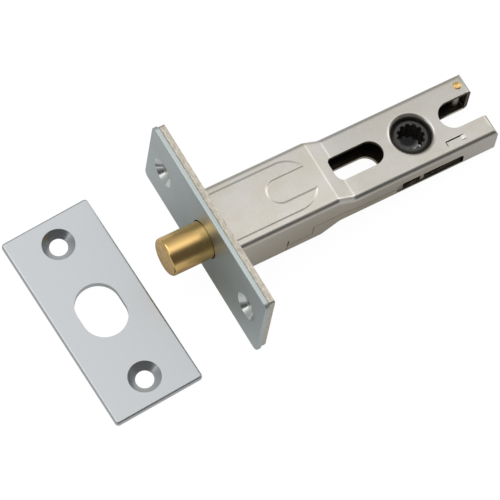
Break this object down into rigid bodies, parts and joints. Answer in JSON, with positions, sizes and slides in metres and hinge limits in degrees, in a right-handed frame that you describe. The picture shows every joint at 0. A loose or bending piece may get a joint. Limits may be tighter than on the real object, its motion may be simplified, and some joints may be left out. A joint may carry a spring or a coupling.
{
  "type": "privacy bolt",
  "caption": "Tubular mortice privacy bolt: brass bolt in a layered forend, folded steel case, lever follower for a snib, and its flat strike plate.",
  "frame": {"origin": "centre of the forend's outer face, on the bolt's axis", "axes": "+X from the forend back along the case into the door, +Y along the forend, +Z out of the case's wide face"},
  "size_m": [0.1218, 0.0576, 0.0294],
  "materials": {
    "satin_chrome": "satin chrome plate",
    "nickel_steel": "nickel-plated pressed steel, satin",
    "satin_steel": "fine satin stainless steel",
    "plain_steel": "zinc-plated steel",
    "spring_steel": "blued spring steel",
    "brass": "turned brass, lightly polished",
    "black_nylon": "moulded black nylon"
  },
  "bodies": {
    "case": {"cover_plate": "satin_chrome", "back_plate": "nickel_steel", "top_shell": "nickel_steel", "bottom_shell": "nickel_steel", "rear_spacer": "plain_steel", "rear_rivet": "brass", "guide_block": "black_nylon", "friction_spring": "spring_steel", "strike_plate": "satin_steel"},
    "bolt_and_slide": {"bolt": "brass", "bolt_rivet": "plain_steel", "slide": "plain_steel"},
    "follower": {"follower": "black_nylon"}
  },
  "joints": [
    {"name": "bolt_throw", "type": "slide", "parent": "case", "child": "bolt_and_slide", "axis": [1, 0, 0], "range_m": [0, 0.0115]},
    {"name": "follower_turn", "type": "hinge", "parent": "case", "child": "follower", "pos_m": [0.06, 0, 0], "axis": [0, 0, 1], "range_deg": [0, 90]}
  ],
  "couplings": [
    {"joint": "follower_turn", "follows": "bolt_throw", "rad_per_m": 136.59}
  ]
}
